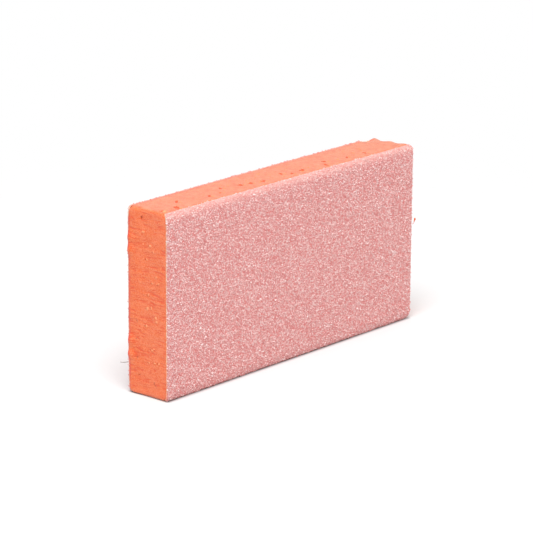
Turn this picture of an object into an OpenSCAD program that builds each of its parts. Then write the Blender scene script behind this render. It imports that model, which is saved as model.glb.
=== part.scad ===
// Nail buffer block, standing on one long slit edge.
//
// A slab of closed-cell foam carries a coated abrasive sheet on each broad face.
// From the foam outwards each sheet is an adhesive film, its backing paper, the
// make coat of resin and the grit that the resin holds. The laminate is slit
// into long strips and then cut to length. Slitting bends both sheets in
// towards the foam along the top and bottom edges. Cutting to length leaves
// square corners at one end and rubbed, rounded ones at the other.
//
// X runs along the block, Y through it and Z up. The origin is the middle of
// the edge that it stands on. The front sheet faces -Y.

/* [Block] */
// Length of the block, along the slit edges
block_length = 50; // [30:0.5:100]
// Height of the block, from one slit edge to the other
block_height = 25.4; // [15:0.1:50]
// Thickness of the foam core between the two sheets
core_thickness = 6.5; // [3:0.1:15]

/* [Abrasive sheets] */
// Thickness of the adhesive film between the foam and the paper
adhesive_thickness = 0.05; // [0.03:0.01:0.3]
// Thickness of the backing paper
paper_thickness = 0.12; // [0.08:0.01:0.5]
// Thickness of the resin that holds the grit
make_coat_thickness = 0.05; // [0.03:0.01:0.3]
// Height of the grit above its resin
grit_thickness = 0.13; // [0.08:0.01:0.6]

/* [Slit edges] */
// How far in from a slit edge the sheets start to bend
roll_width = 1.6; // [0.8:0.1:3]
// How far the foam is pressed in at a slit edge
roll_depth = 0.2; // [0.05:0.05:0.5]

/* [Corners] */
// Corner radius at the square end, seen from the front
square_end_radius = 0.3; // [0.1:0.1:3]
// Upper corner radius at the rubbed end
rubbed_top_radius = 0.7; // [0.1:0.1:3]
// Lower corner radius at the rubbed end
rubbed_bottom_radius = 1.1; // [0.1:0.1:3]

/* [Hidden] */

$fn = 64;

FRONT = -1; // side of the middle plane, along Y
BACK = 1;

// Distance of each layer's outer face from the middle plane.
core_face = core_thickness / 2;
adhesive_face = core_face + adhesive_thickness;
paper_face = adhesive_face + paper_thickness;
make_coat_face = paper_face + make_coat_thickness;
grit_face = make_coat_face + grit_thickness;

// A chord of roll_width that falls roll_depth lies on this radius. The layers
// bend about one centre, so each keeps its thickness round the bend.
roll_radius = (roll_width * roll_width + roll_depth * roll_depth) / (2 * roll_depth);
roll_centre_y = core_face - roll_radius;
roll_steps = 12; // flats along each bend

// How far the outline cutter reaches past the outermost faces.
cutter_margin = 1;

// Where the bend of a given radius has got to, u away from the flat stretch.
function bend_y(radius, u) = roll_centre_y + sqrt(radius * radius - u * u);

// The face of a layer as [y, z] points, from the lower slit edge to the upper.
function face_points(face) =
    let (radius = roll_radius + face - core_face)
    concat(
        [for (i = [roll_steps : -1 : 0])
            let (u = roll_width * i / roll_steps)
            [bend_y(radius, u), roll_width - u]],
        [for (i = [0 : roll_steps])
            let (u = roll_width * i / roll_steps)
            [bend_y(radius, u), block_height - roll_width + u]]
    );

function reversed(points) = [for (i = [len(points) - 1 : -1 : 0]) points[i]];

function mirrored(points) = [for (p = points) [-p[0], p[1]]];

// Runs a cross-section in Y and Z along the length of the block.
module along_length() {
    rotate([90, 0, 90])
        linear_extrude(block_length, center = true)
            children();
}

// What one corner of the outline loses: a square less the quarter disc in it.
module corner_waste(radius) {
    difference() {
        translate([-radius, -radius])
            square(2 * radius);
        translate([-radius, -radius])
            circle(radius);
    }
}

// The block seen from the front, in X and Z.
module outline() {
    half = block_length / 2;
    difference() {
        translate([-half, 0])
            square([block_length, block_height]);
        translate([-half, block_height])
            rotate(90)
                corner_waste(square_end_radius);
        translate([-half, 0])
            rotate(180)
                corner_waste(square_end_radius);
        translate([half, block_height])
            corner_waste(rubbed_top_radius);
        translate([half, 0])
            rotate(-90)
                corner_waste(rubbed_bottom_radius);
    }
}

// Trims what it is given to the outline of the block.
module cut_to_outline() {
    intersection() {
        children();
        rotate([90, 0, 0])
            linear_extrude(2 * (grit_face + cutter_margin), center = true)
                outline();
    }
}

// One layer of a sheet, between two distances from the middle plane.
module sheet_layer(side, inner_face, outer_face) {
    section = concat(face_points(outer_face), reversed(face_points(inner_face)));
    cut_to_outline()
        along_length()
            polygon(side == FRONT ? mirrored(section) : section);
}

module foam_core() {
    section = concat(face_points(core_face), reversed(mirrored(face_points(core_face))));
    color([0.97, 0.52, 0.36])
        cut_to_outline()
            along_length()
                polygon(section);
}

module adhesive_film(side) {
    color([0.95, 0.87, 0.72])
        sheet_layer(side, core_face, adhesive_face);
}

module backing_paper(side) {
    color([0.96, 0.90, 0.82])
        sheet_layer(side, adhesive_face, paper_face);
}

module make_coat(side) {
    color([0.85, 0.47, 0.46])
        sheet_layer(side, paper_face, make_coat_face);
}

module grit(side) {
    color([0.90, 0.65, 0.64])
        sheet_layer(side, make_coat_face, grit_face);
}

foam_core();
adhesive_film(FRONT);  // front_adhesive_film
backing_paper(FRONT);  // front_backing_paper
make_coat(FRONT);  // front_make_coat
grit(FRONT);  // front_grit
adhesive_film(BACK);  // back_adhesive_film
backing_paper(BACK);  // back_backing_paper
make_coat(BACK);  // back_make_coat
grit(BACK);  // back_grit
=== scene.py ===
"""Nail buffer block: an orange foam slab with a pink coated abrasive sheet on each broad face.

The block stands on one long slit edge. X runs along it, Y through it and Z up, in metres.
Slitting bends both sheets in towards the foam along the top and bottom edges. The ends are sawn.
"""

import math
import random

import bpy
from bpy.props import FloatProperty, FloatVectorProperty, IntProperty, PointerProperty
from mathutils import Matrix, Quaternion, Vector


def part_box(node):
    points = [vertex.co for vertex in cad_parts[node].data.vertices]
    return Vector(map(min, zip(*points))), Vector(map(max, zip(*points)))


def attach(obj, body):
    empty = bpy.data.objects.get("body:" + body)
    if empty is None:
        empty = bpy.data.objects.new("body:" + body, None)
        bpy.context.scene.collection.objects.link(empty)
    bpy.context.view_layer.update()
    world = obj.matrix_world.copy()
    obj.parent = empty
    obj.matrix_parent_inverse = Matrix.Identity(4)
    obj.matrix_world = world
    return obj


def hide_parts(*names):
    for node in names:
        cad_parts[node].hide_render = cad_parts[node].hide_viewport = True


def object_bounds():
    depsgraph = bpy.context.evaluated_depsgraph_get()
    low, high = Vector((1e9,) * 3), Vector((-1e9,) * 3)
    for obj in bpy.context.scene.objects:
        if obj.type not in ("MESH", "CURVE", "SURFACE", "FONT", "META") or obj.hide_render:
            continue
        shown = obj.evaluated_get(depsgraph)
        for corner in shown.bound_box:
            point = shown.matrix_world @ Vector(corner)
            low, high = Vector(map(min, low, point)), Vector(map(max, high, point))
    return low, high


bl_info = {
    "name": "Nail Buffer Block",
    "version": (1, 0, 0),
    "blender": (4, 5, 0),
    "location": "3D View > Sidebar > Buffer Block",
    "description": "Models a foam nail buffer block with a coated abrasive sheet on each broad face",
    "category": "Mesh",
}

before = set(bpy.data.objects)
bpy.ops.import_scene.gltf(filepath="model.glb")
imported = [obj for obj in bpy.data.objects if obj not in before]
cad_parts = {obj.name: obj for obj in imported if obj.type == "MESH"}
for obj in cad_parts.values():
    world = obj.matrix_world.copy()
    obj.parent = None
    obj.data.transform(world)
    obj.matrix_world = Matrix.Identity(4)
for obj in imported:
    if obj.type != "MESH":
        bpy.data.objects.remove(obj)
CAD_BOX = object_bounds()
MM = 0.001
SIDES = {"front": -1, "back": 1}  # which way each sheet faces along Y

FOAM_LOW, FOAM_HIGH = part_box("foam_core")
BLOCK_LOW, BLOCK_HIGH = CAD_BOX
MIDDLE_Z = (BLOCK_LOW.z + BLOCK_HIGH.z) / 2

PINCH_WIDTH, PINCH_DEPTH = 0.6 * MM, 0.14 * MM  # how the knife crushes the outermost strip of a slit edge
STAND_OFF = 0.07 * MM  # the sheets' lower edges don't reach the floor, which the foam stands on
GRAIN_CLEARANCE = 0.02 * MM  # the knife has cut the lowest grains this far above the floor
LIFT_HEIGHT, LIFT_DEPTH = 0.6 * MM, (0.8 * MM, 0.2 * MM)  # the strip of foam that lifts with them
ROLL_SEEN = 1.5 * MM  # how far in from a slit edge the grit gets a painted highlight on the front's upper edge, and painted shade on the others
STAIN_SEEN = 0.12 * MM  # how far in from a slit edge resin has stained the film and the paper
EDGE_SHADE_WIDTH = 0.35 * MM  # how far in from a slit edge the grains are painted darker in the resin's colour, as shade, except on the front's upper edge
MERGE_GAP = 0.001 * MM  # points nearer than this are one point
FRAY_WIDTH = 0.5 * MM  # how far in from its rim a layer is frayed
GLUED_FLATNESS = 0.9999  # a face that looks this squarely along Y is glued to a sheet

SAW_SHADE = 0.3  # how much painted shade a broad saw mark gets, where an open cell gets 1
TEAR_STRETCH = 1.8  # how much longer than wide the knife tears an open cell
INSET = 0.01 * MM  # how far in from a CAD layer's face and edges its grid starts
RUN_OUT = 0.3 * MM  # the floor's painted contact shadow fades over this distance, either way of the block's end
FLOOR_SIZE, LAMP_SIZE, LAMP_DISTANCE = 4, 0.4, 0.5  # in metres

# Places on the block, in millimetres, that don't follow its plain shape.
END, TOP = round(FOAM_LOW.x / MM, 3), round(FOAM_HIGH.z / MM, 3)  # the square end, and the upper slit face
BULGES = (  # the foam has sprung out past the back sheet: place, push, reach
    ((END, 3.0, 21.2), (-0.22, 0.0, 0.0), 1.3),
    ((END, 3.0, 19.6), (-0.26, 0.0, 0.0), 1.2),
    ((END, 3.0, 7.2), (-0.25, 0.0, 0.0), 1.3),
    ((END, 3.0, 5.4), (-0.28, 0.0, 0.0), 1.3),
)
WEAR = (  # the rubbed end: its top edge is worn down most at the back
    ((22.5, 3.5, TOP), (0.0, -0.05, -0.30), 1.8),
    ((-END, 1.5, TOP), (-0.10, 0.0, -0.35), 2.0),
    ((-END, -1.0, TOP), (-0.05, 0.0, -0.20), 1.5),
)
END_PITS = (  # open cells that show on the square end: place through and up, width, depth
    (0.9, 24.2, 0.30, 0.15), (-1.1, 2.0, 0.30, 0.12), (1.8, 5.2, 0.25, 0.10), (2.0, 7.6, 0.22, 0.10),
    (1.5, 2.8, 0.25, 0.10), (1.8, 10.0, 0.22, 0.10),
)
TOP_PITS = (  # open cells that show on the upper slit face: place along and through, width, depth
    (-19.8, -0.3, 0.50, 0.25), (-21.8, -2.2, 0.55, 0.20), (-24.3, -1.8, 0.45, 0.25),
    (-14.8, -1.5, 0.40, 0.20), (-12.6, -1.4, 0.35, 0.20), (-10.8, 0.2, 0.40, 0.25), (-7.9, -0.7, 0.45, 0.20),
    (-6.3, -1.1, 0.40, 0.20), (-4.2, -1.5, 0.50, 0.25), (0.1, -0.8, 0.40, 0.20), (1.1, -1.8, 0.35, 0.20),
    (3.6, -1.6, 0.50, 0.25), (9.1, -0.8, 0.40, 0.20), (7.9, -2.0, 0.55, 0.20), (12.9, -1.5, 0.40, 0.20),
    (16.5, -1.8, 0.45, 0.20),
)
PITS = [((END, y, z), width, depth) for y, z, width, depth in END_PITS]
PITS += [((x, y, TOP), width, depth) for x, y, width, depth in TOP_PITS]
END_FLAKES = (  # torn foam that shows on the square end: place through and up, size
    (0.7, 22.3, 0.40), (-0.5, 20.6, 0.34), (-1.1, 19.9, 0.25), (0.1, 18.7, 0.22), (-1.6, 16.6, 0.30),
    (-0.9, 15.7, 0.24), (-2.0, 15.8, 0.26), (-0.2, 14.0, 0.22), (0.0, 12.1, 0.36), (-0.7, 12.3, 0.28),
    (-1.5, 11.1, 0.30), (-1.6, 10.6, 0.26), (0.2, 9.7, 0.28), (-1.1, 6.8, 0.24), (-0.8, 6.6, 0.26),
    (-2.0, 5.0, 0.28), (-0.3, 4.8, 0.22), (-1.3, 4.9, 0.26),
)
TOP_FLAKES = (  # torn foam that shows on the upper slit face: place along and through, size
    (-24.3, -2.4, 0.45), (-14.7, -1.8, 0.25), (-5.0, -1.6, 0.30), (-5.6, -2.8, 0.25), (3.1, -2.0, 0.28),
    (5.2, -1.2, 0.25), (11.3, -1.3, 0.28), (13.5, -1.4, 0.25), (-0.6, -1.9, 0.25),
)
FLAKES = [((END, y, z), size) for y, z, size in END_FLAKES]
FLAKES += [((x, y, TOP), size) for x, y, size in TOP_FLAKES]
CRUMB = (  # lumps of the crumb that clings to the front sheet by a shred: place and size
    ((25.55, -3.60, 14.45), (0.26, 0.26, 0.40)), ((25.42, -3.60, 14.20), (0.18, 0.18, 0.26)),
    ((25.28, -3.60, 13.98), (0.26, 0.20, 0.22)), ((25.10, -3.60, 13.88), (0.30, 0.18, 0.18)),
)
SHRED_TOP, SHRED_FULL = 14.25 * MM, 14.05 * MM  # the crumb turns into its shred between these heights
FIBRE = (  # points of the loose fibre at the square end
    (-24.90, 3.40, 4.10), (-25.15, 3.60, 4.08), (-25.38, 3.86, 4.00), (-25.60, 4.05, 4.02),
    (-25.82, 4.20, 4.10),
)
GRAINS = (  # corners round a grain, its two end radii, and how far it is stretched along each axis
    (3, 0.60, 0.00, (1.00, 0.85, 0.90)), (4, 0.55, 0.00, (1.05, 0.80, 0.95)),
    (3, 0.55, 0.36, (0.95, 0.85, 0.75)), (4, 0.52, 0.00, (0.80, 1.05, 0.80)),
    (3, 0.50, 0.42, (0.85, 1.05, 0.65)),
)

# ---------------------------------------------------------------- settings


def length(name, description, millimetres):
    """A length, stored in metres."""
    return FloatProperty(
        name=name, description=description, default=millimetres * MM, subtype="DISTANCE", unit="LENGTH",
        precision=5,
    )


def angle(name, description, degrees):
    """An angle, stored in radians."""
    return FloatProperty(name=name, description=description, default=math.radians(degrees), subtype="ANGLE")


def number(name, description, value):
    """A plain number."""
    return FloatProperty(name=name, description=description, default=value, min=0)


def count(name, description, value):
    """A whole number."""
    return IntProperty(name=name, description=description, default=value, min=0)


def share(name, description, value):
    """A share from 0 to 1."""
    return FloatProperty(name=name, description=description, default=value, min=0, max=1, subtype="FACTOR")


def colour(name, description, red, green, blue):
    """A linear colour."""
    return FloatVectorProperty(
        name=name, description=description, default=(red, green, blue), min=0, max=1, subtype="COLOR",
    )


class FoamSettings(bpy.types.PropertyGroup):
    """Sizes and colours of the foam slab"""

    mesh_pitch: length("Mesh Pitch", "Spacing of the foam's surface points", 0.125)
    saw_pitch: length("Saw Mark Pitch", "Height of one broad saw mark on an end face", 0.5)
    saw_reach: length("Saw Mark Length", "How far a broad saw mark runs across an end face", 3.4)
    saw_depth: length("Saw Mark Depth", "Depth of the broad saw marks", 0.025)
    fine_pitch: length("Fine Mark Pitch", "Height of one fine saw mark on an end face", 0.30)
    fine_reach: length("Fine Mark Length", "How far a fine saw mark runs across an end face", 3.0)
    end_wave_pitch: length("End Wave Pitch", "Width of the slow waves on an end face", 3.0)
    end_wave_depth: length("End Wave Depth", "Depth of the slow waves on an end face", 0.06)
    slit_wave_pitch: length("Slit Wave Pitch", "Width of the slow waves on a slit face", 5.0)
    slit_wave_depth: length("Slit Wave Depth", "Depth of the slow waves on a slit face", 0.06)
    spring: length("Spring", "How far the foam's ends have sprung out past the back sheet", 0.18)
    rounding: length("End Rounding", "How far in from an end the foam's slit edges are rubbed round", 0.8)
    pit_scale: number("Pit Scale", "Widens every open cell", 1.5)
    random_pits: count("Random Pits", "Open cells on the faces out of sight", 60)
    random_flakes: count("Random Flakes", "Torn flakes over the cut faces", 70)
    seed: count("Seed", "Changes where the pits and flakes fall", 3)
    body: colour("Foam", "Colour of the foam", 0.91, 0.180, 0.040)
    pale: colour("Pale Foam", "Colour where the cut has scuffed the foam", 0.95, 0.255, 0.115)
    # The deep colour is also the painted shade in the saw marks and open cells.
    deep: colour("Deep Foam", "Colour in the saw marks and open cells", 0.82, 0.080, 0.012)
    # The glued rim is painted shade on the foam along its join with the back sheet.
    rim: colour("Glued Rim", "Colour of the foam where it meets the back sheet", 0.80, 0.085, 0.045)
    # The slit tone is painted shade: it lowers the red of the slit faces to offset the stronger light on the
    # top one.
    slit_shade: colour("Slit Tone", "Tints the foam's slit faces, 1 leaves them as they are", 0.84, 0.97, 0.98)
    flake: colour("Foam Flake", "Colour of loose flakes on the cut faces", 0.97, 0.38, 0.18)
    shred: colour("Shred", "Colour of the shred that holds the crumb", 0.80, 0.56, 0.56)
    fuzz: share("Fuzz", "How much the torn cells catch light at a slant", 0.35)
    cell_size: length("Cell Size", "Size of the foam's closed cells", 0.16)


class SheetSettings(bpy.types.PropertyGroup):
    """Sizes and colours of the two coated abrasive sheets"""

    plate_pitch: length("Plate Pitch", "Spacing of the points on the film and the paper", 0.3)
    resin_pitch: length("Resin Pitch", "Spacing of the points on the resin", 0.22)
    grain_size: length("Grain Size", "Mean size of an abrasive grain", 0.28)
    grain_gap: length("Grain Spacing", "Least distance between two grains' middles", 0.175)
    grain_lean: angle("Grain Lean", "How far a grain may lean over", 75)
    seed: count("Seed", "Changes how the grains fall", 7)
    film: colour("Adhesive", "Colour of the adhesive film", 0.95, 0.56, 0.37)
    paper: colour("Paper", "Colour of the backing paper", 0.98, 0.79, 0.60)
    stain: colour("Stain", "Colour of the paper where resin has soaked in", 0.90, 0.30, 0.20)
    fibre: colour("Fibre", "Colour of the loose paper fibre", 0.46, 0.42, 0.40)
    resin: colour("Resin", "Colour of the resin between the grains", 0.74, 0.225, 0.21)
    grain_deep: colour("Deep Grain", "Colour of the deepest-tinted grains", 0.74, 0.31, 0.30)
    grain_mid: colour("Grain", "Colour of most grains", 0.92, 0.615, 0.59)
    # The edge grain colour is a painted highlight along the front's upper slit edge, for the light that the
    # bent-in edge catches.
    grain_highlight: colour("Edge Grain", "Colour of the grains crushed by the slitting", 0.96, 0.57, 0.51)
    # The palest grains are partly pale grit and partly painted glints.
    grain_pale_and_glint: colour("Pale Grain", "Colour of the palest grains", 0.99, 0.79, 0.77)


class StageSettings(bpy.types.PropertyGroup):
    """The camera, the lamps and the floor"""

    azimuth: angle("Azimuth", "Camera's turn about the block, 0 looks along +Y", -48.60)
    elevation: angle("Elevation", "Camera's height above the horizon", 16.46)
    roll: angle("Roll", "Camera's turn about its own axis", 0.35)
    distance: length("Distance", "From the camera to what it looks at", 407.3)
    target_x: length("Target Along", "What the camera looks at, along the block", -1.80)
    target_z: length("Target Up", "What the camera looks at, above the floor", 12.74)
    lens: number("Lens", "Focal length in millimetres", 204)
    sky: share("Sky", "Light that the surroundings give", 0.70)
    key: number("Key Light", "Power of the soft lamp in watts", 2.13)
    key_height: angle("Key Height", "Lamp's height above the horizon", 62)
    floor: colour("Floor", "Colour of the floor as it lights the block", 0.6, 0.6, 0.6)
    floor_seen: colour("Floor Seen", "Colour of the floor as the camera sees it", 0.86, 0.86, 0.86)
    # The floor foot colour is a painted contact shadow on the floor.
    contact_shadow_colour: colour("Floor Foot", "Colour that the camera sees at the block's foot", 0.50, 0.50, 0.50)
    contact: length("Contact", "How far out from the broad faces the floor is seen darker", 0.8)
    floor_reach: length("Floor Reach", "Where the floor has faded into the white surroundings", 110)


# ---------------------------------------------------------------- pieces


def deselect_everything():
    if bpy.context.object and bpy.context.object.mode != "OBJECT":
        bpy.ops.object.mode_set(mode="OBJECT")
    bpy.ops.object.select_all(action="DESELECT")


def pick(piece):
    """Makes piece the only selected object, and the active one."""
    deselect_everything()
    piece.select_set(True)
    bpy.context.view_layer.objects.active = piece


def added(name):
    """Names the object that an operator has just added."""
    piece = bpy.context.object
    piece.name = name
    piece.data.name = name
    return piece


def clear_selection(piece, domain="VERT"):
    """Leaves nothing of the piece's mesh selected, for picking points or faces in code."""
    pick(piece)
    bpy.ops.object.mode_set(mode="EDIT")
    bpy.ops.mesh.select_mode(type=domain)
    bpy.ops.mesh.select_all(action="DESELECT")
    bpy.ops.object.mode_set(mode="OBJECT")


def apply_modifiers(piece):
    pick(piece)
    for modifier in list(piece.modifiers):
        bpy.ops.object.modifier_apply(modifier=modifier.name)


def copy_of_node(node, name):
    """A copy of a CAD node as a closed mesh of its own. The node itself is left as it is."""
    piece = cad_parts[node].copy()
    piece.data = piece.data.copy()
    piece.parent = None
    for key in list(piece.keys()):
        del piece[key]
    piece.name = piece.data.name = name
    piece.data.materials.clear()
    bpy.context.scene.collection.objects.link(piece)
    pick(piece)
    bpy.ops.object.mode_set(mode="EDIT")
    bpy.ops.mesh.select_all(action="SELECT")
    bpy.ops.mesh.remove_doubles(threshold=MERGE_GAP)
    bpy.ops.object.mode_set(mode="OBJECT")
    return piece


def nudge(piece, moves):
    """Pulls a piece about, as proportional editing does: rows of place, push and reach in millimetres."""
    for place, push, reach in moves:
        spot = Vector(place) * MM
        nearest = min(piece.data.vertices, key=lambda vertex: (vertex.co - spot).length_squared)
        if (nearest.co - spot).length > reach * MM:
            continue
        chosen = nearest.index
        clear_selection(piece)
        piece.data.vertices[chosen].select = True
        bpy.ops.object.mode_set(mode="EDIT")
        bpy.ops.transform.translate(
            value=Vector(push) * MM, use_proportional_edit=True, proportional_edit_falloff="SMOOTH",
            proportional_size=reach * MM,
        )
        bpy.ops.object.mode_set(mode="OBJECT")


def dress(piece, material):
    piece.data.materials.clear()
    piece.data.materials.append(material)


def remeshed(piece, pitch):
    """Gives a piece one even, closed skin."""
    skin = piece.modifiers.new("Skin", "REMESH")
    skin.mode = "VOXEL"
    skin.voxel_size = pitch
    apply_modifiers(piece)


def lump(location, size, subdivisions=2):
    """A round lump, its middle in metres and its widths along the three axes in millimetres."""
    bpy.ops.mesh.primitive_ico_sphere_add(subdivisions=subdivisions, radius=0.5, location=location)
    bpy.context.object.scale = Vector(size) * MM
    return bpy.context.object


def hand_over(piece, slot, *nodes):
    """The piece rides with the block and stands for CAD nodes. Its slot is not used."""
    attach(piece, "root")
    if nodes:
        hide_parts(*nodes)
    return piece


# ---------------------------------------------------------------- nodes


def plug(tree, value, socket):
    """Links a socket to the output that it is given, or sets it to a plain value."""
    if isinstance(value, bpy.types.NodeSocket):
        tree.links.new(value, socket)
    else:
        socket.default_value = value


def node(tree, kind, inputs=None, **settings):
    """Adds a node, sets its properties, and links or fills its inputs by name or place."""
    made = tree.nodes.new(kind)
    for name, value in settings.items():
        setattr(made, name, value)
    for place, value in (inputs or {}).items():
        plug(tree, value, made.inputs[place])
    return made


def maths(tree, operation, first, second=0.0, third=0.0):
    return node(tree, "ShaderNodeMath", {0: first, 1: second, 2: third}, operation=operation).outputs[0]


def plus(tree, first, second):
    return maths(tree, "ADD", first, second)


def minus(tree, first, second):
    return maths(tree, "SUBTRACT", first, second)


def times(tree, first, *others):
    for other in others:
        first = maths(tree, "MULTIPLY", first, other)
    return first


def larger(tree, first, second):
    return maths(tree, "MAXIMUM", first, second)


def absolute(tree, value):
    return maths(tree, "ABSOLUTE", value)


def vector_maths(tree, operation, first, second=(0, 0, 0)):
    return node(tree, "ShaderNodeVectorMath", {0: first, 1: second}, operation=operation).outputs[0]


def axes(tree, vector):
    """The X, Y and Z of a vector, by name."""
    return node(tree, "ShaderNodeSeparateXYZ", {0: vector}).outputs


def arrow(tree, x=0.0, y=0.0, z=0.0):
    return node(tree, "ShaderNodeCombineXYZ", {0: x, 1: y, 2: z}).outputs[0]


def attribute(tree, name):
    return node(tree, "ShaderNodeAttribute", attribute_name=name).outputs["Fac"]


def scaled(tree, vector, factor):
    return node(tree, "ShaderNodeVectorMath", {0: vector, "Scale": factor}, operation="SCALE").outputs[0]


def remap(tree, value, low, high, to_low=0.0, to_high=1.0, smooth=True):
    inputs = {"Value": value, "From Min": low, "From Max": high, "To Min": to_low, "To Max": to_high}
    kind = "SMOOTHSTEP" if smooth else "LINEAR"
    return node(tree, "ShaderNodeMapRange", inputs, interpolation_type=kind).outputs[0]


def noise(tree, vector, size, detail=2.0, roughness=0.5, seed=0.0):
    """A noise value about 0.5, whose lumps are size across. The seed moves it to another place."""
    inputs = {"Vector": vector, "W": seed, "Scale": 1 / size, "Detail": detail, "Roughness": roughness}
    return node(tree, "ShaderNodeTexNoise", inputs, noise_dimensions="4D").outputs[0]


def stretched_noise(tree, vector, sizes, detail=2.0, roughness=0.5, seed=0.0):
    """Noise whose lumps have their own length along each axis."""
    shrunk = vector_maths(tree, "MULTIPLY", vector, tuple(1 / size for size in sizes))
    return noise(tree, shrunk, 1.0, detail, roughness, seed)


def mixed(tree, factor, first, second, blend="MIX"):
    """Mixes two colours."""
    made = node(tree, "ShaderNodeMix", {0: factor}, data_type="RGBA", blend_type=blend, clamp_factor=True)
    for place, value in ((6, first), (7, second)):
        linked = isinstance(value, bpy.types.NodeSocket)
        plug(tree, value if linked else (*value, 1), made.inputs[place])
    return made.outputs[2]


def new_group(name, kind, inputs, outputs):
    """A node group with named sockets, given as (name, socket type, default) rows."""
    tree = bpy.data.node_groups.new(name, kind)
    for title, socket_type, default in inputs:
        socket = tree.interface.new_socket(title, in_out="INPUT", socket_type="NodeSocket" + socket_type)
        if default is not None:
            socket.default_value = default
    for title, socket_type in outputs:
        tree.interface.new_socket(title, in_out="OUTPUT", socket_type="NodeSocket" + socket_type)
    return tree, tree.nodes.new("NodeGroupInput"), tree.nodes.new("NodeGroupOutput")


def shape_group(name):
    """A geometry node group that takes a mesh and gives one back."""
    return new_group(name, "GeometryNodeTree", [("Geometry", "Geometry", None)], [("Geometry", "Geometry")])


def stored(tree, geometry, name, value, domain="POINT"):
    """The geometry, with a value kept on each of its points or instances."""
    inputs = {"Geometry": geometry, "Name": name, "Value": value}
    kind = "GeometryNodeStoreNamedAttribute"
    return node(tree, kind, inputs, data_type="FLOAT", domain=domain).outputs[0]


def finished_shape(tree, sink, geometry, offset):
    """Moves every point by its own offset, as the group's last step."""
    moved = node(tree, "GeometryNodeSetPosition", {"Geometry": geometry, "Offset": offset})
    tree.links.new(moved.outputs[0], sink.inputs[0])
    return tree


def apply_group(piece, tree):
    """Runs a geometry node group on a piece, and applies it."""
    modifier = piece.modifiers.new(tree.name, "NODES")
    modifier.node_group = tree
    apply_modifiers(piece)


def new_material(name):
    """A material with its Principled shader, and the Object coordinates that its patterns follow."""
    material = bpy.data.materials.new(name)
    material.use_nodes = True
    tree = material.node_tree
    shader = tree.nodes["Principled BSDF"]
    coordinates = node(tree, "ShaderNodeTexCoord").outputs["Object"]
    return material, tree, shader, coordinates


def closed_cells(tree, place, cell_size):
    """The outputs of the group that draws torn foam."""
    inputs = {"Vector": place, "Cell Size": cell_size}
    return node(tree, "ShaderNodeGroup", inputs, node_tree=bpy.data.node_groups["Closed Cells"]).outputs


def slit_edge(tree, place, width):
    """1 along the two slit edges, falling to 0 width further in."""
    inputs = {"Vector": place, "Width": width}
    return node(tree, "ShaderNodeGroup", inputs, node_tree=bpy.data.node_groups["Slit Edge"]).outputs[0]


def paint(tree, shader, base, roughness):
    """Gives the shader its colour and its roughness."""
    tree.links.new(base, shader.inputs["Base Color"])
    plug(tree, roughness, shader.inputs["Roughness"])


def roughen(tree, shader, height, distance, strength=1.0):
    """Feeds a height into the shader's Normal through a bump."""
    bump = node(tree, "ShaderNodeBump", {"Height": height, "Distance": distance, "Strength": strength})
    tree.links.new(bump.outputs[0], shader.inputs["Normal"])


def distance_from_edge(tree, up):
    """How far a height is from the nearer slit edge."""
    return minus(tree, MIDDLE_Z - BLOCK_LOW.z, absolute(tree, minus(tree, up, MIDDLE_Z)))


def build_shared_groups():
    """The shader node groups that more than one finish uses."""
    tree, source, sink = new_group(
        "Closed Cells", "ShaderNodeTree",
        [("Vector", "Vector", None), ("Cell Size", "Float", 0.16 * MM)],
        [("Height", "Float"), ("Fleck", "Float"), ("Mottle", "Float"), ("Specks", "Float")],
    )
    scale = maths(tree, "DIVIDE", 1.0, source.outputs["Cell Size"])
    place = source.outputs["Vector"]
    cells = node(tree, "ShaderNodeTexVoronoi", {"Vector": place, "Scale": scale}, feature="SMOOTH_F1")

    def cloud(density, roughness):
        inputs = {"Vector": place, "Scale": density, "Detail": 3.0, "Roughness": roughness}
        return node(tree, "ShaderNodeTexNoise", inputs).outputs[0]

    fine, slow = cloud(scale, 0.65), cloud(times(tree, scale, 0.12), 0.6)
    sparse = node(tree, "ShaderNodeTexVoronoi", {"Vector": place, "Scale": times(tree, scale, 0.30)})
    chance = node(tree, "ShaderNodeSeparateColor", {0: sparse.outputs["Color"]}).outputs[0]
    reach = times(tree, remap(tree, chance, 0.45, 1.0), 0.24)
    results = {
        "Height": plus(tree, cells.outputs["Distance"], fine),
        "Fleck": fine,
        "Mottle": slow,
        "Specks": remap(tree, minus(tree, sparse.outputs["Distance"], reach), 0.0, -0.06),
    }
    for name, value in results.items():
        tree.links.new(value, sink.inputs[name])

    tree, source, sink = new_group(
        "Slit Edge", "ShaderNodeTree",
        [("Vector", "Vector", None), ("Width", "Float", 1.6 * MM)],
        [("Mask", "Float")],
    )
    from_edge = distance_from_edge(tree, axes(tree, source.outputs["Vector"])["Z"])
    inwards = maths(tree, "DIVIDE", from_edge, source.outputs["Width"])
    tree.links.new(remap(tree, inwards, 1.0, 0.0), sink.inputs["Mask"])


# ---------------------------------------------------------------- finishes


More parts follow.
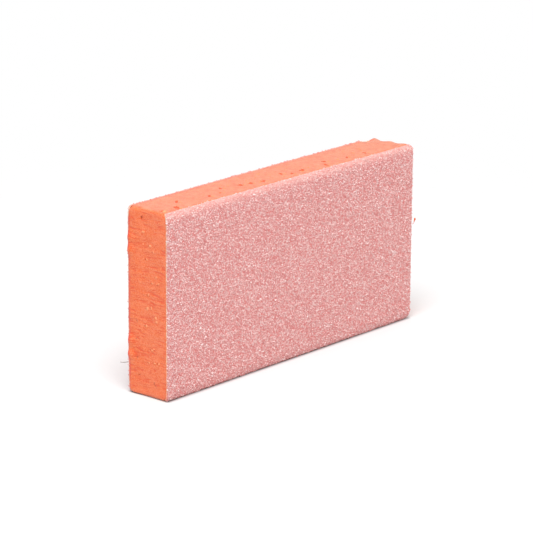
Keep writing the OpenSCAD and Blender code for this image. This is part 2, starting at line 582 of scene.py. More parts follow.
def foam_finish(settings):
    """Matte closed-cell foam, fuzzy with torn cells. Saw marks and open cells are painted darker, as shade in
    them.
    """
    material, tree, shader, place = new_material("Orange Foam")
    cells = closed_cells(tree, place, settings.cell_size)
    groove = attribute(tree, "groove")
    sawn = attribute(tree, "sawn")
    sway = scaled(tree, arrow(tree, z=noise(tree, place, 1.6 * MM)), 0.6 * MM)
    sizes = (settings.fine_reach, settings.fine_reach, settings.fine_pitch)
    marks = stretched_noise(tree, vector_maths(tree, "ADD", place, sway), sizes, 1.0, 0.4, seed=2.0)
    line = remap(tree, absolute(tree, minus(tree, marks, 0.5)), 0.07, 0.01)
    patches = remap(tree, noise(tree, place, 1.1 * MM, 2.0, seed=4.0), 0.38, 0.60, 0.1, 1.0)
    cut = times(tree, line, sawn, patches)
    torn = noise(tree, place, settings.cell_size, 1.0, 0.5, seed=6.0)
    scuffed = remap(tree, cells["Mottle"], 0.42, 0.62)
    uneven = times(tree, scuffed, maths(tree, "MULTIPLY_ADD", sawn, -0.6, 1.0))
    base = mixed(tree, uneven, settings.body, settings.pale)
    flecked = mixed(tree, remap(tree, torn, 0.50, 0.64, 0, 0.9), base, settings.pale)
    strong = maths(tree, "MULTIPLY_ADD", sawn, 0.10, 0.50)
    clouds = remap(tree, noise(tree, place, 0.6 * MM, 2.0, seed=12.0), 0.56, 0.36)
    blotches = times(tree, clouds, maths(tree, "MULTIPLY_ADD", sawn, -0.50, 0.50))
    pitted = mixed(tree, times(tree, remap(tree, torn, 0.48, 0.32), strong), flecked, settings.deep)
    blotched = mixed(tree, blotches, pitted, settings.deep)
    # Painted shade: the broad saw marks, the open cells and the fine saw marks are darkened toward the deep
    # colour.
    grooved = mixed(tree, times(tree, groove, 0.7), blotched, settings.deep)
    lined = mixed(tree, times(tree, cut, 0.85), grooved, settings.deep)
    # Painted shade in open cells: sparse specks darkened toward the deep colour.
    open_cell_shade = times(tree, cells["Specks"], maths(tree, "MULTIPLY_ADD", sawn, 0.45, 0.25))
    specked = mixed(tree, open_cell_shade, lined, settings.deep)
    # Painted shade along the foam's join with the back sheet, broken up by noise.
    through = axes(tree, place)["Y"]
    band = maths(tree, "MULTIPLY_ADD", sawn, -0.25 * MM, 0.7 * MM)
    glued = remap(tree, plus(tree, through, band), FOAM_HIGH.y, FOAM_HIGH.y + 0.25 * MM)
    broken = remap(tree, noise(tree, place, 1.1 * MM, 2.0, seed=9.0), 0.38, 0.58, 0.4, 1.0)
    rimmed = mixed(tree, times(tree, glued, broken), specked, settings.rim)
    # Painted shade on the slit faces, offsetting the stronger light that falls on the top.
    slit_shade = mixed(tree, minus(tree, 1.0, sawn), (1, 1, 1), settings.slit_shade)
    toned = mixed(tree, 1.0, rimmed, slit_shade, "MULTIPLY")
    paint(tree, shader, toned, remap(tree, cells["Mottle"], 0.3, 0.7, 0.42, 0.58))
    shader.inputs["Sheen Weight"].default_value = settings.fuzz
    shader.inputs["Sheen Roughness"].default_value = 0.45
    ragged_cells = maths(tree, "MULTIPLY_ADD", torn, 3.0, cells["Height"])
    roughen(tree, shader, maths(tree, "MULTIPLY_ADD", cut, -1.5, ragged_cells), 0.03 * MM, 0.6)
    return material


def flake_finish(settings):
    """Loose foam, torn thin, so paler than the slab."""
    material, tree, shader, place = new_material("Foam Flakes")
    cells = closed_cells(tree, place, settings.cell_size * 0.6)
    base = mixed(tree, remap(tree, cells["Fleck"], 0.4, 0.7), settings.flake, settings.pale)
    paint(tree, shader, base, 0.6)
    roughen(tree, shader, cells["Height"], 0.02 * MM, 0.5)
    return material


def crumb_finish(settings):
    """A crumb of foam with dust in it, so browner than the slab."""
    material, tree, shader, place = new_material("Foam Crumb")
    cells = closed_cells(tree, place, settings.cell_size)
    up = axes(tree, place)["Z"]
    dusty = tuple(part * 0.5 + 0.06 for part in settings.body)
    dull = mixed(tree, remap(tree, cells["Fleck"], 0.4, 0.6), dusty, settings.body)
    base = mixed(tree, remap(tree, up, SHRED_TOP, SHRED_FULL), dull, settings.shred)
    paint(tree, shader, base, 0.7)
    roughen(tree, shader, cells["Height"], 0.03 * MM, 0.6)
    return material


def fibre_finish(settings):
    """One loose fibre of the backing paper, grey with dust."""
    material, tree, shader, place = new_material("Paper Fibre")
    dusty = remap(tree, noise(tree, place, 0.2 * MM, 2.0), 0.35, 0.65)
    base = mixed(tree, dusty, settings.fibre, tuple(part * 0.7 for part in settings.fibre))
    paint(tree, shader, base, 0.8)
    return material


def film_finish(settings):
    """Pressure-sensitive adhesive, a little glossy, with cloudy patches."""
    material, tree, shader, place = new_material("Adhesive Film")
    cloud = noise(tree, place, 0.7 * MM, 3.0)
    dark = tuple(part * 0.72 for part in settings.film)
    base = mixed(tree, remap(tree, cloud, 0.35, 0.7), settings.film, dark)
    slit = slit_edge(tree, place, STAIN_SEEN)
    stained = mixed(tree, times(tree, slit, 0.9), base, settings.stain)
    paint(tree, shader, stained, 0.35)
    roughen(tree, shader, cloud, 0.03 * MM, 0.5)
    return material


def paper_finish(settings):
    """Backing paper: short fibres, cream at the sawn ends and stained by resin along the slit edges."""
    material, tree, shader, place = new_material("Backing Paper")
    fibres = stretched_noise(tree, place, (0.5 * MM, 0.06 * MM, 0.12 * MM), 4.0, 0.7)
    slit = slit_edge(tree, place, STAIN_SEEN)
    up = axes(tree, place)["Z"]
    patchy = maths(tree, "MULTIPLY_ADD", up, -0.12 / BLOCK_HIGH.z, noise(tree, place, 0.34 * MM, 3.0, 0.6))
    soaked = remap(tree, patchy, 0.36, 0.48)
    stain = larger(tree, slit, soaked)
    dull = tuple(part * 0.86 for part in settings.paper)
    base = mixed(tree, remap(tree, fibres, 0.35, 0.7), settings.paper, dull)
    stained = mixed(tree, times(tree, stain, 0.9), base, settings.stain)
    paint(tree, shader, stained, 0.75)
    roughen(tree, shader, fibres, 0.04 * MM, 0.7)
    return material


def highlight_side(tree, place):
    """1 on the upper half of the front sheet, whose slit edge gets a painted highlight, and 0 elsewhere."""
    axis = axes(tree, place)
    upper = maths(tree, "GREATER_THAN", axis["Z"], MIDDLE_Z)
    return times(tree, upper, maths(tree, "LESS_THAN", axis["Y"], 0.0))


def resin_finish(settings):
    """The resin bed between the grains, glossier and deeper than they are."""
    material, tree, shader, place = new_material("Make Coat")
    cloud = noise(tree, place, 0.5 * MM, 3.0)
    pale = tuple(part * 0.6 + 0.3 for part in settings.resin)
    base = mixed(tree, remap(tree, cloud, 0.4, 0.75), settings.resin, pale)
    edge = slit_edge(tree, place, ROLL_SEEN)
    # Painted highlight on the resin along the front's upper slit edge.
    highlit = times(tree, edge, highlight_side(tree, place))
    highlighted = mixed(tree, times(tree, highlit, 0.5), base, settings.grain_highlight)
    paint(tree, shader, highlighted, remap(tree, cloud, 0.3, 0.7, 0.3, 0.5))
    roughen(tree, shader, noise(tree, place, 0.12 * MM, 3.0), 0.03 * MM, 0.6)
    return material


def grain_finish(settings):
    """Abrasive grains under a size coat, each with its own tint. The front's uppermost carry a painted
    highlight.
    """
    material, tree, shader, place = new_material("Abrasive Grains")
    tint = attribute(tree, "tint")
    edge = slit_edge(tree, place, ROLL_SEEN)
    # Painted highlight along the front's upper slit edge, for the light that the bent-in edge catches;
    # painted shade along the other slit edges.
    highlit = times(tree, edge, highlight_side(tree, place))
    shaded = minus(tree, edge, highlit)
    lower = mixed(tree, remap(tree, tint, 0.0, 0.5), settings.grain_deep, settings.grain_mid)
    # The palest tint is partly pale grit and partly painted glints.
    whole = mixed(tree, remap(tree, tint, 0.75, 1.0), lower, settings.grain_pale_and_glint)
    spots = noise(tree, place, 0.12 * MM, 1.0, 0.5)
    chipped = remap(tree, spots, 0.52, 0.66, 0, 0.44)
    stained = remap(tree, spots, 0.46, 0.34, 0, 0.42)
    chips = mixed(tree, stained, mixed(tree, chipped, whole, settings.grain_pale_and_glint), settings.grain_deep)
    uneven = remap(tree, noise(tree, place, 0.18 * MM, 2.0, 0.6), 0.36, 0.62, 0.2, 1.0)
    highlighted = mixed(tree, times(tree, highlit, uneven), chips, settings.grain_highlight)
    # Painted shade in the resin's colour in a narrow band along every slit edge but the front's upper one.
    rim = slit_edge(tree, place, EDGE_SHADE_WIDTH)
    edge_shade = times(tree, rim, minus(tree, 1.0, highlight_side(tree, place)))
    dim = mixed(tree, times(tree, shaded, 0.3), highlighted, settings.grain_deep)
    base = mixed(tree, times(tree, edge_shade, 0.7), dim, settings.resin)
    paint(tree, shader, base, remap(tree, tint, 0.0, 1.0, 0.5, 0.32))
    roughen(tree, shader, noise(tree, place, 0.06 * MM, 2.0), 0.012 * MM, 0.5)
    return material


# ---------------------------------------------------------------- foam slab


def pinch_group():
    """Turns the outermost strip along each slit edge further in, as the knife crushes it."""
    tree, source, sink = shape_group("Pinch")
    axis = axes(tree, node(tree, "GeometryNodeInputPosition").outputs[0])
    near = remap(tree, distance_from_edge(tree, axis["Z"]), PINCH_WIDTH, 0.0, smooth=False)
    inwards = times(tree, maths(tree, "POWER", near, 2.0), -PINCH_DEPTH)
    share_out = remap(tree, absolute(tree, axis["Y"]), 0.0, FOAM_HIGH.y, smooth=False)
    push = times(tree, inwards, share_out, maths(tree, "SIGN", axis["Y"]))
    return finished_shape(tree, sink, source.outputs[0], arrow(tree, y=push))


def saw_group(settings):
    """Displaces the cut faces: saw marks and slow waves on the ends, slow waves on the slit faces."""
    tree, source, sink = shape_group("Cut Faces")
    place = node(tree, "GeometryNodeInputPosition").outputs[0]
    normal = axes(tree, node(tree, "GeometryNodeInputNormal").outputs[0])
    on_end = remap(tree, absolute(tree, normal["X"]), 0.5, 0.9)
    on_slit = remap(tree, absolute(tree, normal["Z"]), 0.5, 0.9)
    warp = noise(tree, place, 2.4 * MM, 2.0, seed=3.0)
    swayed = vector_maths(tree, "ADD", place, arrow(tree, z=times(tree, minus(tree, warp, 0.5), 0.9 * MM)))
    sizes = (settings.saw_reach, settings.saw_reach, settings.saw_pitch)
    marks = stretched_noise(tree, swayed, sizes, 2.0, 0.55, seed=1.0)
    # Painted shade for the grooves of the broad saw marks, kept on the points for the foam's finish.
    groove = remap(tree, marks, 0.50, 0.34)
    saw = times(tree, minus(tree, marks, 0.5), 4 * settings.saw_depth)
    slow = minus(tree, noise(tree, place, settings.end_wave_pitch, 1.0, seed=5.0), 0.5)
    through, up = axes(tree, place)["Y"], axes(tree, place)["Z"]
    sprung = remap(tree, through, 0.0, FOAM_HIGH.y - 0.3 * MM, 0.0, settings.spring)
    end_out = plus(tree, plus(tree, saw, times(tree, slow, 2 * settings.end_wave_depth)), sprung)
    wave = minus(tree, noise(tree, place, settings.slit_wave_pitch, 2.0, seed=8.0), 0.5)
    slit_out = times(tree, wave, 2 * settings.slit_wave_depth)
    pushed = arrow(
        tree,
        x=times(tree, end_out, on_end, maths(tree, "SIGN", normal["X"])),
        z=times(tree, slit_out, on_slit, remap(tree, normal["Z"], 0.0, 0.9)),
    )
    inner, outer = (FOAM_HIGH.y - depth for depth in LIFT_DEPTH)
    beside = remap(tree, absolute(tree, through), inner, outer)
    low = remap(tree, up, BLOCK_LOW.z + LIFT_HEIGHT, BLOCK_LOW.z, 0.0, STAND_OFF)
    offset = vector_maths(tree, "ADD", pushed, arrow(tree, z=times(tree, low, beside)))
    grooved = stored(tree, source.outputs[0], "groove", times(tree, groove, on_end, SAW_SHADE))
    return finished_shape(tree, sink, stored(tree, grooved, "sawn", on_end), offset)


def rub_round(slab, reach):
    """Rubs the foam's slit edges round where they meet the ends."""
    group = slab.vertex_groups.new(name="rubbed")
    for vertex in slab.data.vertices:
        from_end = FOAM_HIGH.x - abs(vertex.co.x)
        from_slit = min(vertex.co.z - FOAM_LOW.z, FOAM_HIGH.z - vertex.co.z)
        if from_end < reach and from_slit < reach:
            group.add([vertex.index], min(1.0, 2 * (1 - max(from_end, from_slit) / reach)), "REPLACE")
    rub = slab.modifiers.new("Rub", "SMOOTH")
    rub.vertex_group = group.name
    rub.factor = 1.0
    rub.iterations = 12
    apply_modifiers(slab)
    slab.vertex_groups.clear()


def merge_hidden_faces(slab):
    """The glued faces are flat and hidden, so one face each takes the place of their fine mesh."""
    clear_selection(slab, "FACE")
    for face in slab.data.polygons:
        face.select = abs(face.normal.y) > GLUED_FLATNESS
    bpy.ops.object.mode_set(mode="EDIT")
    bpy.ops.mesh.delete(type="FACE")
    bpy.ops.mesh.select_all(action="SELECT")
    bpy.ops.mesh.fill_holes(sides=0)
    bpy.ops.object.mode_set(mode="OBJECT")


def random_places(seed, wanted):
    """Places spread by chance over the slit faces and the ends, in millimetres."""
    rng = random.Random(seed)
    low, high = FOAM_LOW / MM, FOAM_HIGH / MM
    places = []
    for _ in range(wanted):
        across = rng.uniform(low.y + 0.5, high.y - 0.5)
        if rng.random() < 0.65:
            up = rng.choice((low.z, high.z))
            places.append((rng.uniform(low.x + 1, high.x - 1), across, up))
        else:
            places.append((rng.choice((low.x, high.x)), across, rng.uniform(low.z + 1, high.z - 1)))
    return places


def on_surface(piece, place):
    """The nearest spot on a piece's surface to a place in millimetres."""
    found, spot, normal, _ = piece.closest_point_on_mesh(Vector(place) * MM)
    if not found:
        raise RuntimeError(f"no surface near {place}")
    return spot, normal


def joined(pieces, name):
    """Makes one piece of several, with their places in its mesh."""
    deselect_everything()
    for piece in pieces:
        piece.select_set(True)
    bpy.context.view_layer.objects.active = pieces[0]
    bpy.ops.object.join()
    bpy.ops.object.transform_apply(location=True, rotation=True, scale=True)
    return added(name)


def groove_mask(value):
    """Gives every point of a mesh the same groove value."""
    tree, source, sink = shape_group(f"Groove {value}")
    tree.links.new(stored(tree, source.outputs[0], "groove", value), sink.inputs[0])
    return tree


def cut_pits(slab, settings):
    """Cuts the open cells, chosen ones where they show and the rest by chance."""
    rng = random.Random(settings.seed)
    hidden = [place for place in random_places(settings.seed, 2 * settings.random_pits)
              if place[0] > FOAM_HIGH.x / MM - 0.1 or place[2] < 0.1][:settings.random_pits]
    behind_flakes = [((END, y + 0.25, z - 0.05), 0.16, 0.12) for y, z, _ in END_FLAKES]
    rows = PITS + behind_flakes + [(place, rng.uniform(0.2, 0.5), 0.2) for place in hidden]
    cells = []
    for place, width, depth in rows:
        spot, normal = on_surface(slab, place)
        facing = max(range(3), key=lambda axis: abs(normal[axis]))
        for step in range(3):
            along = [settings.pit_scale * width * rng.uniform(0.35, 1.0) / (1 + 0.4 * step) for _ in range(3)]
            if facing == 2:
                along[0] *= TEAR_STRETCH
            along[facing] = 2 * depth * rng.uniform(0.6, 1.0)
            aside = Vector([rng.uniform(-0.8, 0.8) * width * MM if step else 0 for _ in range(3)])
            aside[facing] = 0
            cell = lump(spot + aside, along)
            if facing == 2:
                cell.rotation_euler.z = math.radians(rng.uniform(20, 70))  # torn along the knife's slant
            cells.append(cell)
    cutter = joined(cells, "pit_cutter")
    remeshed(cutter, settings.mesh_pitch * 0.5)
    dress(cutter, slab.data.materials[0])
    # The open cells' walls take full painted shade.
    apply_group(cutter, groove_mask(1.0))
    cut = slab.modifiers.new("Pits", "BOOLEAN")
    cut.operation = "DIFFERENCE"
    cut.solver = "MANIFOLD"
    cut.object = cutter
    apply_modifiers(slab)
    bpy.data.objects.remove(cutter)


class BUFFER_OT_foam_slab(bpy.types.Operator):
    """Models the foam slab, with its saw marks, worn edges and open cells"""

    bl_idname = "buffer.foam_slab"
    bl_label = "Foam Slab"
    bl_options = {"REGISTER", "UNDO"}

    def execute(self, context):
        settings = context.scene.buffer_foam
        slab = copy_of_node("foam_core", "foam_slab")
        dress(slab, foam_finish(settings))
        remeshed(slab, settings.mesh_pitch)
        merge_hidden_faces(slab)
        rub_round(slab, settings.rounding)
        apply_group(slab, pinch_group())
        apply_group(slab, saw_group(settings))
        nudge(slab, BULGES + WEAR)
        cut_pits(slab, settings)
        pick(slab)
        bpy.ops.object.shade_smooth()
        hand_over(slab, "foam", "foam_core")
        return {"FINISHED"}


def ragged(piece, size, depth):
    """Roughens a small piece with a noise displacement."""
    texture = bpy.data.textures.new(f"{piece.name} ragged", "CLOUDS")
    texture.noise_scale = size
    rough = piece.modifiers.new("Ragged", "DISPLACE")
    rough.texture = texture
    rough.strength = depth
    rough.mid_level = 0.5
    rough.texture_coords = "LOCAL"
    apply_modifiers(piece)


class BUFFER_OT_foam_flakes(bpy.types.Operator):
    """Models the torn flakes on the foam's cut faces"""

    bl_idname = "buffer.foam_flakes"
    bl_label = "Foam Flakes"
    bl_options = {"REGISTER", "UNDO"}

    def execute(self, context):
        settings = context.scene.buffer_foam
        slab = bpy.data.objects.get("foam_slab")
        if slab is None:
            raise RuntimeError("Make the foam slab first")
        rng = random.Random(settings.seed + 1)
        anywhere = random_places(settings.seed + 2, settings.random_flakes)
        off_floor = [place for place in anywhere if place[2] > 0.1]
        beside_pits = [((x + 0.35, y - 0.35, TOP), 0.24) for x, y, _, _ in TOP_PITS]
        rows = FLAKES + beside_pits + [(place, rng.uniform(0.12, 0.22)) for place in off_floor]
        flakes = []
        for place, size in rows:
            spot, normal = on_surface(slab, place)
            turn = normal.to_track_quat("Z", "Y") @ Quaternion((0, 0, 1), rng.uniform(0, math.tau))
            widths = (size * rng.uniform(1.2, 1.7), size * rng.uniform(0.8, 1.2), size * 0.6)
            flake = lump(spot, widths)
            flake.rotation_mode = "QUATERNION"
            flake.rotation_quaternion = turn
            flakes.append(flake)
        piece = joined(flakes, "foam_flakes")
        ragged(piece, 0.10 * MM, 0.18 * MM)
        dress(piece, flake_finish(settings))
        hand_over(piece, "foam")
        return {"FINISHED"}


class BUFFER_OT_foam_crumb(bpy.types.Operator):
    """Models the crumb of foam that clings to the front sheet at the rubbed end"""

    bl_idname = "buffer.foam_crumb"
    bl_label = "Foam Crumb"
    bl_options = {"REGISTER", "UNDO"}

    def execute(self, context):
        crumb = joined([lump(Vector(place) * MM, size, 3) for place, size in CRUMB], "foam_crumb")
        remeshed(crumb, 0.03 * MM)
        ragged(crumb, 0.10 * MM, 0.06 * MM)
        dress(crumb, crumb_finish(context.scene.buffer_foam))
        pick(crumb)
        bpy.ops.object.shade_smooth()
        hand_over(crumb, "foam")
        return {"FINISHED"}


# ---------------------------------------------------------------- sheets


def layer_face(side, node_name, name, pitch):
    """A grid pressed onto the outer face of a CAD layer, bends and rounded corners included."""
    low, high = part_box(node_name)
    out = low.y if SIDES[side] < 0 else high.y
    across, up = high.x - low.x, high.z - low.z
    bpy.ops.mesh.primitive_grid_add(
        x_subdivisions=round(across / pitch), y_subdivisions=round(up / pitch), size=1,
        location=((low.x + high.x) / 2, out + SIDES[side] * INSET, (low.z + high.z) / 2),
        rotation=(-SIDES[side] * math.radians(90), 0, 0),
    )
    face = added(name)
    face.scale = (across - 2 * INSET, up - 2 * INSET, 1)
    bpy.ops.object.transform_apply(location=True, rotation=True, scale=True)
    press = face.modifiers.new("Press", "SHRINKWRAP")
    press.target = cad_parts[node_name]
    press.wrap_method = "PROJECT"
    press.use_project_y = press.use_negative_direction = press.use_positive_direction = True
    trim = face.modifiers.new("Trim", "SHRINKWRAP")
    trim.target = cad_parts[node_name]
    trim.wrap_method = "NEAREST_SURFACEPOINT"
    apply_modifiers(face)
    bpy.ops.object.mode_set(mode="EDIT")
    bpy.ops.mesh.select_all(action="SELECT")
    bpy.ops.mesh.remove_doubles(threshold=pitch * 0.15)
    bpy.ops.object.mode_set(mode="OBJECT")
    apply_group(face, pinch_group())
    return face


def thicken(plate, thickness):
    """Gives a layer its thickness, inwards from its outer face."""
    solid = plate.modifiers.new("Thickness", "SOLIDIFY")
    solid.thickness = thickness
    solid.offset = -1
    apply_modifiers(plate)


def rough_edge_group(name, amount, size, bumps=0.0):
    """Frays a layer's rim by amount, and raises bumps on its outer face."""
    tree, source, sink = shape_group(name)
    place = node(tree, "GeometryNodeInputPosition").outputs[0]
    axis = axes(tree, place)
    near_top = remap(tree, axis["Z"], BLOCK_HIGH.z - FRAY_WIDTH, BLOCK_HIGH.z)
    near_end = remap(tree, absolute(tree, axis["X"]), BLOCK_HIGH.x - FRAY_WIDTH, BLOCK_HIGH.x)
    uneven = minus(tree, noise(tree, place, size, 3.0, 0.6), 0.5)
    fray = times(tree, uneven, 2 * amount, larger(tree, near_end, near_top))
    outward = arrow(tree, x=maths(tree, "SIGN", axis["X"]), z=near_top)
    low = remap(tree, axis["Z"], BLOCK_LOW.z + FRAY_WIDTH, BLOCK_LOW.z, 0.0, STAND_OFF)
    offset = vector_maths(tree, "ADD", scaled(tree, outward, fray), arrow(tree, z=low))
    if bumps:
        normal = node(tree, "GeometryNodeInputNormal").outputs[0]
        facing = times(tree, maths(tree, "SIGN", axis["Y"]), axes(tree, normal)["Y"])
        hills = minus(tree, noise(tree, place, 0.2 * MM, 2.0, 0.6), 0.5)
        raised = times(tree, hills, remap(tree, facing, 0.5, 0.9), 2 * bumps)
        offset = vector_maths(tree, "ADD", offset, scaled(tree, normal, raised))
    return finished_shape(tree, sink, source.outputs[0], offset)


def face_distance(side, name):
    """How far a layer's outer face is from the block's middle plane."""
    low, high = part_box(name)
    return high.y if SIDES[side] > 0 else -low.y


def make_plates(layer, inner, title, pitch, edge, finish, slot):
    """Makes one layer of both sheets, each from its inner neighbour's face out to its own."""
    for side in SIDES:
        layer_node, inner_node = f"{side}_{layer}", inner.format(side=side)
        plate = layer_face(side, layer_node, f"{side}_{title}", pitch)
        thicken(plate, face_distance(side, layer_node) - face_distance(side, inner_node))
        apply_group(plate, edge)
        nudge(plate, WEAR)
        dress(plate, finish)
        hand_over(plate, slot, layer_node)


class BUFFER_OT_adhesive_films(bpy.types.Operator):
    """Models the adhesive film under each abrasive sheet"""

    bl_idname = "buffer.adhesive_films"
    bl_label = "Adhesive Films"
    bl_options = {"REGISTER", "UNDO"}

    def execute(self, context):
        settings = context.scene.buffer_sheet
        make_plates(
            "adhesive_film", "foam_core", "film", settings.plate_pitch,
            rough_edge_group("Film Edge", 0.05 * MM, 0.5 * MM), film_finish(settings), "adhesive",
        )
        return {"FINISHED"}


class BUFFER_OT_backing_papers(bpy.types.Operator):
    """Models the backing paper of each abrasive sheet, with its cut fibres"""

    bl_idname = "buffer.backing_papers"
    bl_label = "Backing Papers"
    bl_options = {"REGISTER", "UNDO"}

    def execute(self, context):
        settings = context.scene.buffer_sheet
        make_plates(
            "backing_paper", "{side}_adhesive_film", "paper", settings.plate_pitch,
            rough_edge_group("Paper Edge", 0.14 * MM, 0.35 * MM), paper_finish(settings), "backing_paper",
        )
        return {"FINISHED"}


class BUFFER_OT_paper_fibre(bpy.types.Operator):
    """Models the fibre that stands out of the back paper's cut edge at the square end"""

    bl_idname = "buffer.paper_fibre"
    bl_label = "Paper Fibre"
    bl_options = {"REGISTER", "UNDO"}

    def execute(self, context):
        deselect_everything()
        bpy.ops.curve.primitive_nurbs_path_add()
        fibre = added("paper_fibre")
        line = fibre.data.splines[0]
        for point, place in zip(line.points, FIBRE, strict=True):
            point.co = (*(Vector(place) * MM), 1)
        fibre.data.bevel_depth = 0.05 * MM
        fibre.data.bevel_resolution = 1
        fibre.data.use_fill_caps = True
        pick(fibre)
        bpy.ops.object.convert(target="MESH")
        dress(fibre, fibre_finish(context.scene.buffer_sheet))
        hand_over(fibre, "backing_paper")
        return {"FINISHED"}


class BUFFER_OT_make_coats(bpy.types.Operator):
    """Models the uneven resin bed that holds the grains of each sheet"""

    bl_idname = "buffer.make_coats"
    bl_label = "Make Coats"
    bl_options = {"REGISTER", "UNDO"}

    def execute(self, context):
        settings = context.scene.buffer_sheet
        make_plates(
            "make_coat", "{side}_backing_paper", "resin", settings.resin_pitch,
            rough_edge_group("Resin Bed", 0.05 * MM, 0.3 * MM, 0.03 * MM), resin_finish(settings), "resin",
        )
        return {"FINISHED"}


def broken_grain(index):
    """One abrasive grain, about 1 across: a blunt shard with one end pushed askew."""
    corners, low_radius, high_radius, stretch = GRAINS[index]
    bpy.ops.mesh.primitive_cone_add(
        vertices=corners, radius1=low_radius, radius2=high_radius, depth=0.8, end_fill_type="NGON",
        calc_uvs=False,
    )
    grain = added(f"grain_{index}")
    clear_selection(grain)
    for vertex in grain.data.vertices:
        vertex.select = vertex.co.z > 0
    bpy.ops.object.mode_set(mode="EDIT")
    bpy.ops.transform.translate(value=(0.16, 0.10, 0))
    bpy.ops.mesh.select_all(action="SELECT")
    bpy.ops.transform.resize(value=stretch)
    bpy.ops.mesh.normals_make_consistent(inside=False)
    bpy.ops.uv.smart_project(angle_limit=math.radians(80), island_margin=0.02)
    bpy.ops.object.mode_set(mode="OBJECT")
    return grain


def random_value(tree, least, most, seed):
    inputs = {2: least, 3: most, "Seed": seed}
    return node(tree, "FunctionNodeRandomValue", inputs, data_type="FLOAT").outputs[1]


def scatter_group(side, variants, settings):
    """Scatters grains over a bed: evenly spaced, each turned, sized and tinted by chance."""
    tree, source, sink = shape_group(f"{side} grit")
    seed = settings.seed + (0 if side == "front" else 100)
    up = axes(tree, node(tree, "GeometryNodeInputPosition").outputs[0])["Z"]
    clear_of_floor = maths(tree, "GREATER_THAN", up, BLOCK_LOW.z + settings.grain_size * 0.4)
    points = node(tree, "GeometryNodeDistributePointsOnFaces", {
        "Mesh": source.outputs[0], "Distance Min": settings.grain_gap,
        "Density Max": 3.0 / settings.grain_gap ** 2, "Density Factor": clear_of_floor, "Seed": seed,
    }, distribute_method="POISSON")
    collection = node(tree, "GeometryNodeCollectionInfo", {
        "Collection": variants, "Separate Children": True, "Reset Children": True,
    })
    lean = settings.grain_lean
    turns = {0: (-lean, -lean, 0), 1: (lean, lean, math.tau), "Seed": seed + 1}
    turn = node(tree, "FunctionNodeRandomValue", turns, data_type="FLOAT_VECTOR").outputs[0]
    turned = node(tree, "FunctionNodeRotateRotation", {
        "Rotation": points.outputs["Rotation"],
        "Rotate By": node(tree, "FunctionNodeEulerToRotation", {0: turn}).outputs[0],
    }, rotation_space="LOCAL")
    size = random_value(tree, settings.grain_size * 0.72, settings.grain_size * 1.25, seed + 2)
    instances = node(tree, "GeometryNodeInstanceOnPoints", {
        "Points": points.outputs["Points"], "Instance": collection.outputs[0], "Pick Instance": True,
        "Rotation": turned.outputs[0], "Scale": size,
    })
    tinted = stored(tree, instances.outputs[0], "tint", random_value(tree, 0.0, 1.0, seed + 3), "INSTANCE")
    real = node(tree, "GeometryNodeRealizeInstances", {"Geometry": tinted}).outputs[0]
    too_low = larger(tree, minus(tree, BLOCK_LOW.z + GRAIN_CLEARANCE, up), 0.0)
    return finished_shape(tree, sink, real, arrow(tree, z=too_low))


class BUFFER_OT_grit(bpy.types.Operator):
    """Models the abrasive grains of each sheet, scattered over its resin"""

    bl_idname = "buffer.grit"
    bl_label = "Grit"
    bl_options = {"REGISTER", "UNDO"}

    def execute(self, context):
        settings = context.scene.buffer_sheet
        finish = grain_finish(settings)
        variants = bpy.data.collections.new("grain variants")
        grains = [broken_grain(index) for index in range(len(GRAINS))]
        for grain in grains:
            for home in grain.users_collection:
                home.objects.unlink(grain)
            variants.objects.link(grain)
        for side in SIDES:
            bed = layer_face(side, f"{side}_make_coat", f"{side}_grains", settings.resin_pitch)
            apply_group(bed, scatter_group(side, variants, settings))
            nudge(bed, WEAR)
            dress(bed, finish)
            hand_over(bed, "grit", f"{side}_grit")
        for grain in grains:
            bpy.data.objects.remove(grain)
        bpy.data.collections.remove(variants)
        return {"FINISHED"}


# ---------------------------------------------------------------- stage


def towards(turn, height):
    """The way to something from the block, by its turn about the block and its height as angles."""
    return Vector((math.sin(turn) * math.cos(height), -math.cos(turn) * math.cos(height), math.sin(height)))


def stage_camera(settings):
    back = towards(settings.azimuth, settings.elevation)
    target = Vector((settings.target_x, 0, settings.target_z))
    bpy.ops.object.camera_add(location=target + back * settings.distance)
    camera = added("camera")
    camera.rotation_mode = "QUATERNION"
    camera.rotation_quaternion = back.to_track_quat("Z", "Y") @ Quaternion((0, 0, 1), settings.roll)
    camera.data.lens = settings.lens
    camera.data.sensor_width = 36
    camera.data.clip_start = 10 * MM
    camera.data.clip_end = 10
    bpy.context.scene.camera = camera


def stage_lamp(settings):
    """One soft lamp above the camera."""
    back = towards(settings.azimuth, settings.key_height)
    bpy.ops.object.light_add(type="AREA", location=Vector((0, 0, MIDDLE_Z)) + back * LAMP_DISTANCE)
    lamp = added("key_light")
    lamp.rotation_mode = "QUATERNION"
    lamp.rotation_quaternion = back.to_track_quat("Z", "Y")
    lamp.data.energy = settings.key
    lamp.data.shape = "DISK"
    lamp.data.size = LAMP_SIZE


def seen_directly(tree):
    """1 for rays from the camera and in mirror reflections and glass, 0 for light that falls on things."""
    path = node(tree, "ShaderNodeLightPath").outputs
    mirrored = larger(tree, path["Is Glossy Ray"], path["Is Transmission Ray"])
    return larger(tree, path["Is Camera Ray"], mirrored)


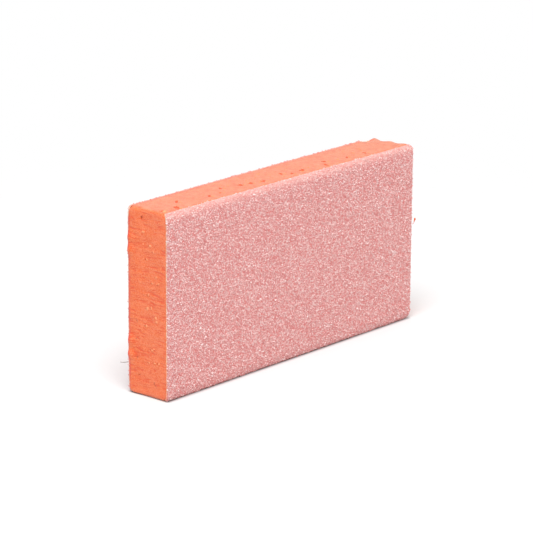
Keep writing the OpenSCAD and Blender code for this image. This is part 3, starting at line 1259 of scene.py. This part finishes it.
def floor_finish(settings):
    """A white floor that holds the shadow, with a painted contact shadow in a thin line along the broad
    faces.
    """
    material, tree, shader, place = new_material("White Floor")
    seen = seen_directly(tree)
    axis = axes(tree, place)
    along = absolute(tree, axis["X"])
    out = minus(tree, absolute(tree, axis["Y"]), BLOCK_HIGH.y - 0.4 * MM)
    beside = larger(tree, minus(tree, along, BLOCK_HIGH.x), out)
    before_end = remap(tree, along, BLOCK_HIGH.x + RUN_OUT, BLOCK_HIGH.x - RUN_OUT)
    # Painted contact shadow on the floor along the broad faces, faded out past the block's ends.
    contact_shadow = times(tree, remap(tree, beside, settings.contact, 0.0), before_end)
    white = mixed(tree, contact_shadow, settings.floor_seen, settings.contact_shadow_colour)
    paint(tree, shader, mixed(tree, seen, settings.floor, white), 1.0)
    shader.inputs["Specular IOR Level"].default_value = 0.0
    away = node(tree, "ShaderNodeVectorMath", {0: place}, operation="LENGTH").outputs["Value"]
    near = remap(tree, away, settings.floor_reach, settings.floor_reach * 0.5)
    hidden = times(tree, minus(tree, 1.0, near), seen)
    tree.links.new(minus(tree, 1.0, hidden), shader.inputs["Alpha"])
    return material


def white_surroundings(settings):
    """Surroundings that are seen white, and give less light than that."""
    world = bpy.data.worlds.new("White Surroundings")
    world.use_nodes = True
    tree = world.node_tree
    background = tree.nodes["Background"]
    background.inputs["Color"].default_value = (1, 1, 1, 1)
    strength = remap(tree, seen_directly(tree), 0, 1, settings.sky, 1.0, smooth=False)
    tree.links.new(strength, background.inputs["Strength"])
    return world


class BUFFER_OT_stage(bpy.types.Operator):
    """Sets up the white floor, the soft light and the camera"""

    bl_idname = "buffer.stage"
    bl_label = "Stage"
    bl_options = {"REGISTER", "UNDO"}

    def execute(self, context):
        settings = context.scene.buffer_stage
        deselect_everything()
        bpy.ops.mesh.primitive_plane_add(size=FLOOR_SIZE)
        floor = added("floor")
        dress(floor, floor_finish(settings))
        context.scene.world = white_surroundings(settings)
        stage_lamp(settings)
        stage_camera(settings)
        context.scene.view_settings.view_transform = "Standard"
        return {"FINISHED"}


# ---------------------------------------------------------------- add-on


class BUFFER_PT_panel(bpy.types.Panel):
    """The block's pieces, in the order in which they are made"""

    bl_label = "Buffer Block"
    bl_idname = "BUFFER_PT_panel"
    bl_space_type = "VIEW_3D"
    bl_region_type = "UI"
    bl_category = "Buffer Block"

    def draw(self, context):
        for settings in (context.scene.buffer_foam, context.scene.buffer_sheet, context.scene.buffer_stage):
            box = self.layout.box()
            for name in settings.bl_rna.properties.keys():
                if name not in {"rna_type", "name"}:
                    box.prop(settings, name)
        for operator in STEPS:
            self.layout.operator(operator.bl_idname)


SETTINGS = {"buffer_foam": FoamSettings, "buffer_sheet": SheetSettings, "buffer_stage": StageSettings}
STEPS = (
    BUFFER_OT_stage, BUFFER_OT_foam_slab, BUFFER_OT_foam_flakes, BUFFER_OT_foam_crumb,
    BUFFER_OT_adhesive_films, BUFFER_OT_backing_papers, BUFFER_OT_paper_fibre, BUFFER_OT_make_coats,
    BUFFER_OT_grit,
)


def register():
    for name, group in SETTINGS.items():
        bpy.utils.register_class(group)
        setattr(bpy.types.Scene, name, PointerProperty(type=group))
    for operator in STEPS:
        bpy.utils.register_class(operator)
    bpy.utils.register_class(BUFFER_PT_panel)


def unregister():
    bpy.utils.unregister_class(BUFFER_PT_panel)
    for operator in reversed(STEPS):
        bpy.utils.unregister_class(operator)
    for name, group in SETTINGS.items():
        delattr(bpy.types.Scene, name)
        bpy.utils.unregister_class(group)


def main():
    """Makes every piece."""
    register()
    build_shared_groups()
    for step in STEPS:
        family, name = step.bl_idname.split(".")
        getattr(getattr(bpy.ops, family), name)()


if __name__ == "__main__":
    main()
